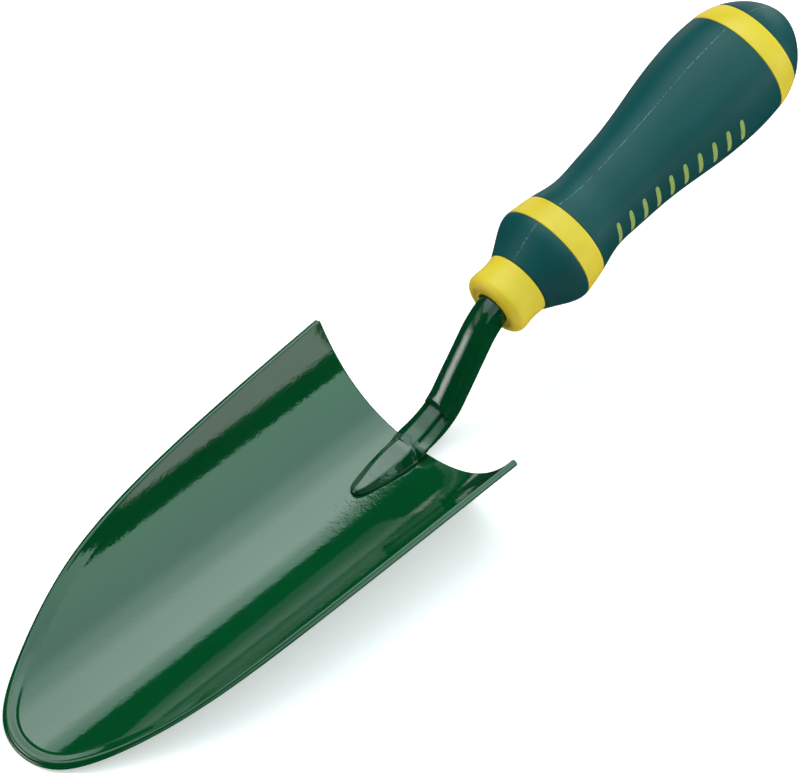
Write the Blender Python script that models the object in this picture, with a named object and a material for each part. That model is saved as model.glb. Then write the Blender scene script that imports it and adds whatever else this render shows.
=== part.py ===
"""Hand trowel: a pressed steel blade, a forged tang welded into it, and a two-colour moulded handle.

Metres, +Z up. The trowel lies on the back of its blade, with the hollow of the blade upwards.
X runs from the tip of the blade to the end of the handle and Y runs to the left. The origin is on
the ground under the middle of the overall length.
Inside this script each piece is drawn in the blade's own coordinates, with X measured from the tip
and Z from the bottom of the hollow, and one empty carries them all to the origin.
"""

import math

import bmesh
import bpy
import numpy as np

MM = 0.001
GAP = 0.3 * MM  # clearance left between two pieces that touch

# Blade: a sheet pressed to one section along its whole length
BLADE_LENGTH = 154 * MM
SHEET = 2.0 * MM
SCOOP_HALF_WIDTH = 38.6 * MM
SCOOP_DEPTH = 25.0 * MM
SCOOP_SQUARENESS = 0.42  # share of the depth that rises with the fourth power of the width
BLADE_OUTLINE = (  # distance from the tip as a share of the length, half width
    (0.00, 0.0 * MM),
    (0.02, 10.3 * MM),
    (0.06, 16.05 * MM),
    (0.15, 23.2 * MM),
    (0.30, 30.8 * MM),
    (0.50, 35.1 * MM),
    (0.75, 37.3 * MM),
    (1.00, 38.6 * MM),
)
BLADE_ROWS = 20
BLADE_STRIPS = 17  # odd, so that one strip lies flat under the middle
STRIP_CROWDING = 0.25  # how much narrower the strips are towards the rims

# Tang: a 10 mm bar under its paint, forged flat where it lies in the blade
ROD_RADIUS = 5.1 * MM
FOOT_START = 128.0 * MM  # nose of the foot, from the blade's tip
FOOT_FLAT = 26.7 * MM  # straight length of the foot and the neck's root
NECK_HEIGHT = 4.2 * MM  # bar's centreline over the bottom of the hollow
LOWER_BEND = 15.8 * MM
NECK_SLOPE = math.radians(54.3)
NECK_LENGTH = 19.7 * MM
UPPER_BEND = 21.2 * MM
HANDLE_TILT = math.radians(13.84)
BEND_IN_COLLAR = 5.6 * MM  # depth in the collar at which the bar becomes straight
TANG_DEPTH = 60.0 * MM  # how far the bar reaches into the handle
TANG_SIDES = 28
BEND_STEPS = 9  # sections from the round neck to the handle, through the upper bend
BAR_FLAT = 0.8  # where a bevel meets a plain section's top and side, as a share of its half width

# Handle: a yellow core with a collar and two flush rings, and three rubber sleeves between them.
# Distances along it run from the collar's front.
COLLAR_RADIUS = 10.5 * MM
COLLAR_ROUND = 2.75 * MM
COLLAR_LENGTH = 11.4 * MM
RECESS_RADIUS = 7.0 * MM
RECESS_DEPTH = 0.5 * MM
MOUTH_RADIUS = 6.5 * MM
FRONT_RING = (23.8 * MM, 31.8 * MM)
REAR_RING = (107.1 * MM, 115.3 * MM)
HANDLE_LENGTH = 128.6 * MM
GRIP_OUTLINE = (  # distance behind the collar's front, radius
    (11.4 * MM, 10.75 * MM),
    (16.0 * MM, 13.3 * MM),
    (20.0 * MM, 15.45 * MM),
    (23.0 * MM, 16.25 * MM),
    (26.0 * MM, 16.0 * MM),
    (32.0 * MM, 14.95 * MM),
    (40.0 * MM, 13.2 * MM),
    (50.0 * MM, 13.35 * MM),
    (60.0 * MM, 14.0 * MM),
    (70.0 * MM, 15.25 * MM),
    (82.0 * MM, 17.2 * MM),
    (94.0 * MM, 18.45 * MM),
    (100.0 * MM, 18.65 * MM),
    (107.0 * MM, 18.3 * MM),
)
DOME_POWER = 1.75  # 2 would be an ellipse, and less is more pointed
COLLAR_ROUND_STEPS = 5
SLEEVE_WALL = 3.0 * MM
CORE_NECK_RADIUS = 7.9 * MM  # the core just behind its collar
CORE_SHOULDER_RADIUS = 12.8 * MM  # the core just ahead of its front ring
CORE_TAIL = (119.0 * MM, 12.0 * MM)  # end and radius of the spigot in the end cap
REAR_HOLLOW = (66.0 * MM, 7.5 * MM, 8.6 * MM)  # start, radius there, radius at the core's end
CAP_PLUG_START = 110.0 * MM
BORE_EASE = 0.35 * MM  # the bore's radius over the bar's
BORE_OVERRUN = 2.0 * MM  # the bore's depth past the end of the bar
TURNED_SIDES = 36

# Weld: one fillet behind the blade's rear edge, under the neck
WELD_HALF_LENGTH = 3.9 * MM
WELD_LEG = 2.3 * MM
WELD_DROP = 1.7 * MM
WELD_END_SHRINK = 0.85  # 1 would bring the bead's two ends to a point
WELD_BULGE = 0.2  # share of its size that the bead's two legs stand out over its hollow face
WELD_SLICES = 8
WELD_FACE_STEPS = 6


def smooth_curve(points):
    """The natural cubic curve through the points, as a function of their first value."""
    at, value = np.array(points, float).T
    step = np.diff(at)
    slope = np.diff(value) / step
    count = len(at)
    system = np.eye(count)
    target = np.zeros(count)
    for i in range(1, count - 1):
        system[i, i - 1 : i + 2] = step[i - 1], 2 * (step[i - 1] + step[i]), step[i]
        target[i] = 6 * (slope[i] - slope[i - 1])
    bend = np.linalg.solve(system, target)

    def curve(x):
        i = int(np.clip(np.searchsorted(at, x) - 1, 0, count - 2))
        left, right = x - at[i], at[i + 1] - x
        cubic = (bend[i] * right**3 + bend[i + 1] * left**3) / (6 * step[i])
        start = value[i] / step[i] - bend[i] * step[i] / 6
        end = value[i + 1] / step[i] - bend[i + 1] * step[i] / 6
        return float(cubic + start * right + end * left)

    return curve


def paint(name, colour, roughness):
    """A material for one kind of surface; the colour is linear."""
    material = bpy.data.materials.new(name)
    material.use_nodes = True
    shader = material.node_tree.nodes["Principled BSDF"]
    shader.inputs["Base Color"].default_value = (*colour, 1.0)
    shader.inputs["Roughness"].default_value = roughness
    material.diffuse_color = (*colour, 1.0)
    return material


def add_piece(name, bm, material, parent, sharp_angle=35):
    """Turn a bmesh into a named object with its faces outwards."""
    bmesh.ops.recalc_face_normals(bm, faces=bm.faces)
    mesh = bpy.data.meshes.new(name)
    bm.to_mesh(mesh)
    bm.free()
    mesh.materials.append(material)
    mesh.shade_smooth()
    mesh.set_sharp_from_angle(angle=math.radians(sharp_angle))
    piece = bpy.data.objects.new(name, mesh)
    piece.parent = parent
    bpy.context.scene.collection.objects.link(piece)
    return piece


# ---------------------------------------------------------------- blade

half_width_by_root = smooth_curve([(math.sqrt(share), half) for share, half in BLADE_OUTLINE])


def blade_half_width(x):
    """Half width of the hollow at a distance from the tip; the root makes the tip round."""
    return half_width_by_root(math.sqrt(max(x, 0.0) / BLADE_LENGTH))


def scoop_height(y):
    """Height of the hollow's surface over its bottom."""
    share = abs(y) / SCOOP_HALF_WIDTH
    square = SCOOP_SQUARENESS
    return SCOOP_DEPTH * ((1 - square) * share**2 + square * share**4)


def scoop_slope(y):
    share = y / SCOOP_HALF_WIDTH
    square = SCOOP_SQUARENESS
    rise = 2 * (1 - square) * share + 4 * square * share**3
    return SCOOP_DEPTH / SCOOP_HALF_WIDTH * rise


def sheet_points(x, y):
    """The points on the sheet's upper and lower faces, square to the sheet."""
    slope = scoop_slope(y)
    length = math.hypot(slope, 1.0)
    upper = (x, y, scoop_height(y))
    lower = (x, y + SHEET * slope / length, upper[2] - SHEET / length)
    return upper, lower


def make_blade(material, parent):
    bm = bmesh.new()
    tip = [bm.verts.new(point) for point in sheet_points(0.0, 0.0)]
    rows = []
    for row in range(1, BLADE_ROWS + 1):
        x = BLADE_LENGTH * (row / BLADE_ROWS) ** 2
        half = blade_half_width(x)
        pairs = []
        for strip in range(BLADE_STRIPS + 1):
            across = 2 * strip / BLADE_STRIPS - 1
            across *= 1 + STRIP_CROWDING * (1 - across**2)
            pairs.append([bm.verts.new(point) for point in sheet_points(x, half * across)])
        rows.append(pairs)
    for side in (0, 1):
        for a, b in zip(rows[0], rows[0][1:]):
            bm.faces.new((tip[side], a[side], b[side]))
        for near, far in zip(rows, rows[1:]):
            for i in range(BLADE_STRIPS):
                bm.faces.new((near[i][side], far[i][side], far[i + 1][side], near[i + 1][side]))
    rim = [pairs[0] for pairs in reversed(rows)] + [tip] + [pairs[-1] for pairs in rows]
    rim += rows[-1][-2::-1]
    for a, b in zip(rim, rim[1:]):
        bm.faces.new((a[0], b[0], b[1], a[1]))
    return add_piece("blade", bm, material, parent)


# ---------------------------------------------------------------- tang

TANG_RUNS = (  # length, turn
    (FOOT_FLAT, 0.0),
    (LOWER_BEND * NECK_SLOPE, NECK_SLOPE),
    (NECK_LENGTH, 0.0),
    (UPPER_BEND * (NECK_SLOPE - HANDLE_TILT), HANDLE_TILT - NECK_SLOPE),
    (TANG_DEPTH - BEND_IN_COLLAR, 0.0),
)
COLLAR_AT = sum(length for length, _ in TANG_RUNS) - TANG_DEPTH  # collar's front along the bar
TANG_END = COLLAR_AT + TANG_DEPTH


def tang_place(along):
    """(x, z, angle) of the bar's centreline at a distance along it from the foot's nose."""
    x, z, angle = FOOT_START, NECK_HEIGHT, 0.0
    for length, turn in TANG_RUNS:
        part = min(along, length)
        along -= part
        turned = turn * part / length
        chord = part if turned == 0 else part * math.sin(turned / 2) / (turned / 2)
        x += chord * math.cos(angle + turned / 2)
        z += chord * math.sin(angle + turned / 2)
        angle += turned
    return x, z, angle


# Each section lies square to the centreline: distance along it, reach (radius of the round bar
# that the section is forged from), half width, top and bottom over the centreline, half width of
# the top flat, and the height at which the flat's bevel meets the side.
FOOT_SECTIONS = (
    (0.2, 6.0, 0.9, -3.0, -3.7, 0.4, -3.3),
    (1.2, 6.0, 2.1, -2.65, -3.85, 0.8, -3.25),
    (3.0, 6.0, 2.8, -2.45, -3.85, 1.4, -3.2),
    (6.7, 6.2, 3.7, -2.2, -3.85, 2.0, -3.1),
    (13.3, 6.5, 5.1, -1.6, -3.85, 2.3, -3.0),
    (16.6, 6.7, 5.75, -1.25, -3.85, 2.5, -2.8),
    (20.0, 6.7, 5.85, -0.9, -3.85, 2.6, -2.5),
    (22.0, 6.5, 5.75, -0.7, -3.85, 2.6, -1.9),
    (23.2, 6.1, 5.65, 0.3, -3.85, 2.6, -1.0),
    (26.7, 5.45, 5.4, 1.4, -3.85, 2.7, 0.3),
    (30.0, 5.2, 5.2, 2.15, -3.8, 2.7, 1.2),
    (33.2, 5.15, 5.15, 2.4, -3.85, 2.6, 1.4),
    (35.9, 5.15, 5.15, 2.7, -4.0, 2.4, 1.5),
    (37.6, 5.15, 5.15, 3.4, -4.2, 2.6, 2.0),
    (42.0, 5.15, 5.15, 4.2, -4.5, 3.2, 2.6),
    (49.0, 5.15, 5.15, 4.9, -4.9, 4.0, 3.6),
    (55.0, 5.1, 5.1, 5.1, -5.1, 4.1, 4.1),
)
# Inside the handle the bar is drawn down to a blunt square spike.
SPIKE_SECTIONS = (  # depth in the handle, reach, half width of the square
    (5.6, 5.1, 5.1),
    (22.0, 5.1, 5.1),
    (34.0, 5.0, 4.2),
    (58.0, 4.2, 3.1),
    (60.0, 3.3, 2.4),
)


def tang_sections():
    """All sections in metres, with extra round ones through the two bends."""
    sections = [tuple(value * MM for value in row) for row in FOOT_SECTIONS]
    edge = BAR_FLAT * ROD_RADIUS
    round_bar = (ROD_RADIUS, ROD_RADIUS, ROD_RADIUS, -ROD_RADIUS, edge, edge)
    bend_from = sections[-1][0]
    bend_to = COLLAR_AT + BEND_IN_COLLAR
    for step in range(1, BEND_STEPS):
        along = bend_from + (bend_to - bend_from) * step / BEND_STEPS
        sections.append((along, *round_bar))
    for depth, reach, half in SPIKE_SECTIONS:
        reach, half = reach * MM, half * MM
        edge = BAR_FLAT * half
        sections.append((COLLAR_AT + depth * MM, reach, half, half, -half, edge, edge))
    return sections


def section_points(reach, half, top, bottom, flat, bevel):
    """The outline of one section: a circle round the centreline, trimmed by flats and bevels."""
    middle = (top + bottom) / 2
    height = (top - bottom) / 2
    side = math.hypot(top - bevel, half - flat)
    normal = ((top - bevel) / side, (half - flat) / side)
    bevel_reach = normal[0] * flat + normal[1] * (top - middle)
    points = []
    for i in range(TANG_SIDES):
        turn = 2 * math.pi * (i + 0.5) / TANG_SIDES
        c, s = half * math.cos(turn), height * math.sin(turn)
        size = math.hypot(c, s)
        c, s = c / size, s / size
        circle = math.sqrt(reach**2 - (c * middle) ** 2) - s * middle
        limits = [circle, half / abs(c), height / abs(s)]
        facing = normal[0] * abs(c) + normal[1] * s
        if facing > 0:
            limits.append(bevel_reach / facing)
        radius = min(limits)
        points.append((radius * c, middle + radius * s))
    return points


def make_tang(material, parent):
    bm = bmesh.new()
    rings = []
    for along, *shape in tang_sections():
        x, z, angle = tang_place(along)
        ring = []
        for side, up in section_points(*shape):
            height = z + up * math.cos(angle)
            if along <= FOOT_FLAT:
                height = max(height, scoop_height(side) + GAP)
            ring.append(bm.verts.new((x - up * math.sin(angle), side, height)))
        rings.append(ring)
    for near, far in zip(rings, rings[1:]):
        for i in range(TANG_SIDES):
            j = (i + 1) % TANG_SIDES
            bm.faces.new((near[i], near[j], far[j], far[i]))
    bm.faces.new(rings[0])
    bm.faces.new(rings[-1])
    return add_piece("tang", bm, material, parent)


def make_weld(material, parent):
    """A fillet of weld metal from the sheet's cut edge to the underside of the neck."""
    bm = bmesh.new()
    rings = []
    for step in range(WELD_SLICES + 1):
        share = 2 * step / WELD_SLICES - 1
        swell = math.sqrt(1 - WELD_END_SHRINK * share**2)
        ring = [bm.verts.new((BLADE_LENGTH + GAP, WELD_HALF_LENGTH * share, 0.0))]
        for i in range(WELD_FACE_STEPS + 1):
            turn = math.pi / 2 * i / WELD_FACE_STEPS
            size = swell * (1 - WELD_BULGE + WELD_BULGE * math.cos(4 * turn))
            x = BLADE_LENGTH + GAP + WELD_LEG * size * math.sin(turn)
            z = -WELD_DROP * size * math.cos(turn)
            ring.append(bm.verts.new((x, WELD_HALF_LENGTH * share, z)))
        rings.append(ring)
    count = len(rings[0])
    for near, far in zip(rings, rings[1:]):
        for i in range(count):
            j = (i + 1) % count
            bm.faces.new((near[i], near[j], far[j], far[i]))
    bm.faces.new(rings[0])
    bm.faces.new(rings[-1])
    return add_piece("weld_bead", bm, material, parent)


# ---------------------------------------------------------------- handle

grip_curve = smooth_curve(GRIP_OUTLINE)
DOME_START, DOME_RADIUS = GRIP_OUTLINE[-1]


def grip_radius(t):
    """Outer radius of the handle behind its collar, at a distance from the collar's front."""
    if t <= DOME_START:
        return grip_curve(t)
    share = min((t - DOME_START) / (HANDLE_LENGTH - DOME_START), 1.0)
    return DOME_RADIUS * max(1 - share**DOME_POWER, 0.0) ** (1 / DOME_POWER)


def outer_run(start, end, steps):
    """Profile points along the outside, from start to end."""
    stops = [start + (end - start) * i / steps for i in range(steps + 1)]
    return [(t, grip_radius(t)) for t in stops]


def core_run(start, end, steps, grow=0.0):
    """Profile points along the core under a sleeve, made larger by grow."""
    return [(t, radius - SLEEVE_WALL + grow) for t, radius in outer_run(start, end, steps)]


def make_turned(name, profile, material, parent):
    """Turn a closed outline of (distance, radius) points round the handle's axis."""
    bm = bmesh.new()
    verts = [bm.verts.new((radius, 0.0, t)) for t, radius in profile]
    ends_on_axis = profile[0][1] == 0.0 and profile[-1][1] == 0.0
    pairs = list(zip(verts, verts[1:]))
    if not ends_on_axis:
        pairs.append((verts[-1], verts[0]))
    edges = [bm.edges.new(pair) for pair in pairs]
    bmesh.ops.spin(
        bm,
        geom=verts + edges,
        cent=(0.0, 0.0, 0.0),
        axis=(0.0, 0.0, 1.0),
        dvec=(0.0, 0.0, 0.0),
        angle=2 * math.pi,
        steps=TURNED_SIDES,
        use_merge=True,
    )
    bmesh.ops.remove_doubles(bm, verts=bm.verts, dist=0.001 * MM)
    piece = add_piece(name, bm, material, parent)
    x, z = handle_front()
    piece.location = (x, 0.0, z)
    piece.rotation_euler = (0.0, math.pi / 2 - HANDLE_TILT, 0.0)
    return piece


def handle_front():
    """Where the handle's axis meets the collar's front plane."""
    x, z, _ = tang_place(COLLAR_AT + BEND_IN_COLLAR)
    back = BEND_IN_COLLAR
    return x - back * math.cos(HANDLE_TILT), z - back * math.sin(HANDLE_TILT)


def bore_run():
    """The tang's bore from its blind end to the mouth, clear of the bar all along."""
    blind_end = TANG_DEPTH + BORE_OVERRUN
    run = [(blind_end, 0.0)]
    run.append((blind_end, SPIKE_SECTIONS[-2][1] * MM + BORE_EASE))
    for depth, reach, _ in SPIKE_SECTIONS[-2:0:-1]:
        run.append((depth * MM, reach * MM + BORE_EASE))
    run.append((BEND_IN_COLLAR + GAP, ROD_RADIUS + BORE_EASE))
    run.append((RECESS_DEPTH, MOUTH_RADIUS))
    run.append((RECESS_DEPTH, RECESS_RADIUS))
    return run


def make_core(material, parent):
    """The yellow moulding: collar, two rings, the tang's bore and a hollow behind it."""
    hollow_start, hollow_radius, hollow_mouth = REAR_HOLLOW
    tail_end, tail_radius = CORE_TAIL
    profile = bore_run()
    profile.append((0.0, RECESS_RADIUS))
    for step in range(COLLAR_ROUND_STEPS + 1):
        turn = math.pi / 2 * step / COLLAR_ROUND_STEPS
        t = COLLAR_ROUND * (1 - math.cos(turn))
        profile.append((t, COLLAR_RADIUS - COLLAR_ROUND * (1 - math.sin(turn))))
    profile.append((COLLAR_LENGTH, COLLAR_RADIUS))
    profile.append((COLLAR_LENGTH, CORE_NECK_RADIUS))
    profile.append((FRONT_RING[0], CORE_SHOULDER_RADIUS))
    profile += outer_run(*FRONT_RING, 4)
    profile += core_run(FRONT_RING[1], REAR_RING[0], 9)
    profile += outer_run(*REAR_RING, 4)
    profile.append((REAR_RING[1], tail_radius))
    profile.append((tail_end, tail_radius))
    profile.append((tail_end, hollow_mouth))
    profile.append((hollow_start, hollow_radius))
    profile.append((hollow_start, 0.0))
    return make_turned("handle_core", profile, material, parent)


def make_front_sleeve(material, parent):
    start, end = COLLAR_LENGTH + GAP, FRONT_RING[0] - GAP
    profile = outer_run(start, end, 6)
    profile.append((end, CORE_SHOULDER_RADIUS + GAP))
    profile.append((start, CORE_NECK_RADIUS + 2 * GAP))
    return make_turned("grip_nose", profile, material, parent)


def make_main_sleeve(material, parent):
    start, end = FRONT_RING[1] + GAP, REAR_RING[0] - GAP
    profile = outer_run(start, end, 18)
    profile += reversed(core_run(start, end, 9, grow=GAP))
    return make_turned("grip_main", profile, material, parent)


def make_cap(material, parent):
    """The domed end: it covers the core's tail and plugs the hollow in it."""
    tail_end, tail_radius = CORE_TAIL
    hollow_start, hollow_radius, hollow_mouth = REAR_HOLLOW
    start = REAR_RING[1] + GAP
    share = (CAP_PLUG_START - hollow_start) / (tail_end - hollow_start)
    plug_radius = hollow_radius + (hollow_mouth - hollow_radius) * share - GAP
    dome = [start + (HANDLE_LENGTH - start) * math.sin(math.pi / 2 * i / 9) for i in range(10)]
    profile = [(t, grip_radius(t)) for t in reversed(dome)]
    profile.append((start, tail_radius + GAP))
    profile.append((tail_end + GAP, tail_radius + GAP))
    profile.append((tail_end + GAP, hollow_mouth - GAP))
    profile.append((CAP_PLUG_START, plug_radius))
    profile.append((CAP_PLUG_START, 0.0))
    return make_turned("grip_cap", profile, material, parent)


# ---------------------------------------------------------------- assembly


def overall_length():
    """Length from the tip to the furthest point of the tilted dome."""
    front = handle_front()[0]
    ends = []
    for step in range(200):
        t = DOME_START + (HANDLE_LENGTH - DOME_START) * step / 199
        ends.append(front + t * math.cos(HANDLE_TILT) + grip_radius(t) * math.sin(HANDLE_TILT))
    return max(ends)


def main():
    for old in list(bpy.data.objects):
        bpy.data.objects.remove(old, do_unlink=True)
    trowel = bpy.data.objects.new("trowel", None)
    bpy.context.scene.collection.objects.link(trowel)
    trowel.location = (-overall_length() / 2, 0.0, SHEET)

    green_paint = paint("green_paint", (0.0015, 0.07, 0.02), 0.2)
    grip_rubber = paint("grip_rubber", (0.012, 0.07, 0.068), 0.5)
    core_plastic = paint("core_plastic", (0.80, 0.62, 0.07), 0.4)

    make_blade(green_paint, trowel)
    make_tang(green_paint, trowel)
    make_weld(green_paint, trowel)
    make_core(core_plastic, trowel)
    make_front_sleeve(grip_rubber, trowel)
    make_main_sleeve(grip_rubber, trowel)
    make_cap(grip_rubber, trowel)


main()
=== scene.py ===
import math

import bmesh
import bpy
import numpy as np
from mathutils import Matrix, Vector


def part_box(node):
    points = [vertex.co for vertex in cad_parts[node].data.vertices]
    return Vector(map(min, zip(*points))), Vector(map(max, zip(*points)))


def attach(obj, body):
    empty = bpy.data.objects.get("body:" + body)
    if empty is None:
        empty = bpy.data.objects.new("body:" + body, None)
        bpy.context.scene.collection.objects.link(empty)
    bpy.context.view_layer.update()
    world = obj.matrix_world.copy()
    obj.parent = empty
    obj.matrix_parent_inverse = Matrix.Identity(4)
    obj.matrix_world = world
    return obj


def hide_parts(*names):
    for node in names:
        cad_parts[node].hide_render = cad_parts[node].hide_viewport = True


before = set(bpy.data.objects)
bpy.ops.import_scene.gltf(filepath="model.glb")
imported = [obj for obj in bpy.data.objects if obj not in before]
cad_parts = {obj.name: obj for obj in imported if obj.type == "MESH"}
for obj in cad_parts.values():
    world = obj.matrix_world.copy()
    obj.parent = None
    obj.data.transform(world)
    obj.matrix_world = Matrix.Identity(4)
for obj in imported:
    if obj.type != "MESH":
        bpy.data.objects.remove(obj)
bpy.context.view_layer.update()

# Looks of the hand trowel: coated steel blade and tang, yellow moulding, rubber grip.
# Every piece is drawn in the blade's own coordinates, in millimetres, with X from the tip of the
# blade, Y to the left and Z from the bottom of the hollow, and is then moved into the CAD frame.

MM = 0.001
TIP_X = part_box("blade")[0].x  # metres
SHEET = 2.0  # the blade's thickness with its coat
HALF_SHEET = SHEET / 2
MERGE_WITHIN = 0.002  # points nearer than this become one
SHORTEST_EDGE = 0.001


# ------------------------------------------------------------------ tools


def smooth_curve(points):
    """The natural cubic curve through the points, as a function of their first value."""
    at, value = np.array(points, float).T
    step = np.diff(at)
    slope = np.diff(value) / step
    count = len(at)
    system = np.eye(count)
    target = np.zeros(count)
    for i in range(1, count - 1):
        system[i, i - 1 : i + 2] = step[i - 1], 2 * (step[i - 1] + step[i]), step[i]
        target[i] = 6 * (slope[i] - slope[i - 1])
    bend = np.linalg.solve(system, target)

    def curve(x):
        x = np.asarray(x, float)
        i = np.clip(np.searchsorted(at, x) - 1, 0, count - 2)
        left, right = x - at[i], at[i + 1] - x
        cubic = (bend[i] * right**3 + bend[i + 1] * left**3) / (6 * step[i])
        start = value[i] / step[i] - bend[i] * step[i] / 6
        end = value[i + 1] / step[i] - bend[i + 1] * step[i] / 6
        return cubic + start * right + end * left

    return curve


def smooth_step(share):
    """From 0 to 1 with level ends."""
    share = np.clip(share, 0.0, 1.0)
    return share * share * (3 - 2 * share)


def grid_faces(rows, columns, round_columns=True, round_rows=False):
    """Quads between the neighbours of a grid of points."""
    faces = []
    for i in range(rows if round_rows else rows - 1):
        for j in range(columns if round_columns else columns - 1):
            a, b = i * columns + j, i * columns + (j + 1) % columns
            k = (i + 1) % rows
            c, d = k * columns + (j + 1) % columns, k * columns + j
            faces.append((a, b, c, d))
    return faces


def add_piece(name, points, faces, material, replaced=(), sharp_angle=None):
    """A closed mesh from points in millimetres, in the blade's coordinates."""
    mesh = bpy.data.meshes.new(name)
    points = np.asarray(points, float).reshape(-1, 3)
    placed = points * MM + np.array([TIP_X, 0.0, SHEET * MM])
    mesh.from_pydata(placed.tolist(), [], faces)
    bm = bmesh.new()
    bm.from_mesh(mesh)
    bmesh.ops.remove_doubles(bm, verts=bm.verts, dist=MERGE_WITHIN * MM)
    bmesh.ops.dissolve_degenerate(bm, edges=bm.edges, dist=SHORTEST_EDGE * MM)
    bmesh.ops.recalc_face_normals(bm, faces=bm.faces)
    bm.to_mesh(mesh)
    bm.free()
    mesh.shade_smooth()
    if sharp_angle:
        mesh.set_sharp_from_angle(angle=math.radians(sharp_angle))
    mesh.materials.append(material)
    piece = bpy.data.objects.new(name, mesh)
    bpy.context.scene.collection.objects.link(piece)
    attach(piece, "root")
    if replaced:
        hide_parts(*replaced)


# ------------------------------------------------------------------ materials


class Surface:
    """One principled material and the few nodes that every finish here is built from."""

    def __init__(self, name):
        self.material = bpy.data.materials.new(name)
        self.material.use_nodes = True
        self.tree = self.material.node_tree
        self.shader = self.tree.nodes["Principled BSDF"]
        self.place = self.tree.nodes.new("ShaderNodeTexCoord").outputs["Object"]

    def node(self, kind, **inputs):
        """A new node; an underscore in a keyword stands for a space in the socket's name."""
        made = self.tree.nodes.new(kind)
        for key, value in inputs.items():
            self.put(made, key.replace("_", " "), value)
        return made

    def put(self, node, socket, value):
        """Link a socket, or set a plain value."""
        if isinstance(value, bpy.types.NodeSocket):
            self.tree.links.new(value, node.inputs[socket])
        else:
            node.inputs[socket].default_value = value

    def set(self, **inputs):
        """Inputs of the shader itself."""
        for key, value in inputs.items():
            self.put(self.shader, key.replace("_", " "), value)

    def noise(self, size_mm, detail=2.0, roughness=0.5, stretch=(1.0, 1.0, 1.0)):
        """Noise with features of about this size."""
        scaled = self.node("ShaderNodeMapping", Vector=self.place, Scale=stretch)
        made = self.node(
            "ShaderNodeTexNoise",
            Vector=scaled.outputs[0],
            Scale=1 / (size_mm * MM),
            Detail=detail,
            Roughness=roughness,
        )
        return made.outputs[0]

    def spread(self, value, low, high, to_low=0.0, to_high=1.0):
        """The value's part between low and high, mapped to the new range."""
        made = self.node("ShaderNodeMapRange", Value=value)
        for i, number in enumerate((low, high, to_low, to_high)):
            made.inputs[i + 1].default_value = number
        return made.outputs[0]

    def blend(self, amount, first, second):
        """From the first colour to the second; 6, 7 and 2 are the mix node's colour sockets."""
        made = self.node("ShaderNodeMix")
        made.data_type = "RGBA"
        self.put(made, 0, amount)
        for socket, colour in ((6, first), (7, second)):
            if not isinstance(colour, bpy.types.NodeSocket):
                colour = (*colour, 1.0)
            self.put(made, socket, colour)
        return made.outputs[2]

    def math(self, operation, first, second):
        """The result of a math node."""
        made = self.node("ShaderNodeMath")
        made.operation = operation
        self.put(made, 0, first)
        self.put(made, 1, second)
        return made.outputs[0]

    def bump(self, height, depth_mm, below=None):
        """A bumped normal, on top of the one below where that is given."""
        made = self.node("ShaderNodeBump", Height=height, Distance=depth_mm * MM, Strength=1.0)
        if below is not None:
            self.put(made, "Normal", below)
        return made.outputs[0]


# Base and shade of the green coat, which is a little darker on the forging.
SHEET_GREENS = (0.0004, 0.061, 0.0160), (0.0003, 0.055, 0.0145)
FORGING_GREENS = (0.0004, 0.052, 0.0150), (0.0003, 0.043, 0.0128)
FORGING_DENTS = 0.07


def green_coat(name, base, shade, dents=0.0):
    """Epoxy powder coat on steel: a deep green under a glossy skin with fine orange peel."""
    coat = Surface(name)
    cloud = coat.noise(26.0, detail=3.0)
    colour = coat.blend(coat.spread(cloud, 0.35, 0.65), shade, base)
    speck = coat.spread(coat.noise(0.45, detail=1.0), 0.70, 0.78)
    colour = coat.blend(coat.math("MULTIPLY", speck, 0.10), colour, [c * 1.9 for c in base])
    peel = coat.bump(coat.noise(1.5, detail=1.0), 0.018)
    peel = coat.bump(coat.noise(0.6, detail=2.0), 0.011, below=peel)
    if dents:
        peel = coat.bump(coat.noise(3.5, detail=2.0), dents, below=peel)
    rough = coat.spread(coat.noise(9.0, detail=4.0), 0.3, 0.7, 0.045, 0.085)
    coat.set(Base_Color=colour, Roughness=rough, Normal=peel, IOR=1.6)
    return coat.material


def yellow_plastic():
    """Satin moulded plastic, a little translucent, with faint flow clouds and fine spark marks."""
    plastic = Surface("yellow_plastic")
    cloud = plastic.spread(plastic.noise(14.0, detail=3.0, stretch=(1.0, 1.0, 1.6)), 0.35, 0.65)
    colour = plastic.blend(cloud, (0.72, 0.49, 0.022), (0.77, 0.535, 0.030))
    dirt = plastic.spread(plastic.noise(1.6, detail=4.0), 0.66, 0.80, 0.0, 0.35)
    colour = plastic.blend(dirt, colour, (0.56, 0.43, 0.035))
    grain = plastic.bump(plastic.noise(0.35, detail=2.0), 0.004)
    grain = plastic.bump(plastic.noise(5.0, detail=1.0), 0.03, below=grain)
    rough = plastic.spread(plastic.noise(4.0, detail=3.0), 0.3, 0.7, 0.34, 0.46)
    plastic.set(Base_Color=colour, Roughness=rough, Normal=grain, Subsurface_Weight=0.12)
    plastic.set(Subsurface_Radius=(1.0, 0.7, 0.2), Subsurface_Scale=1.5 * MM)
    plastic.set(Specular_IOR_Level=0.35)
    return plastic.material


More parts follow.
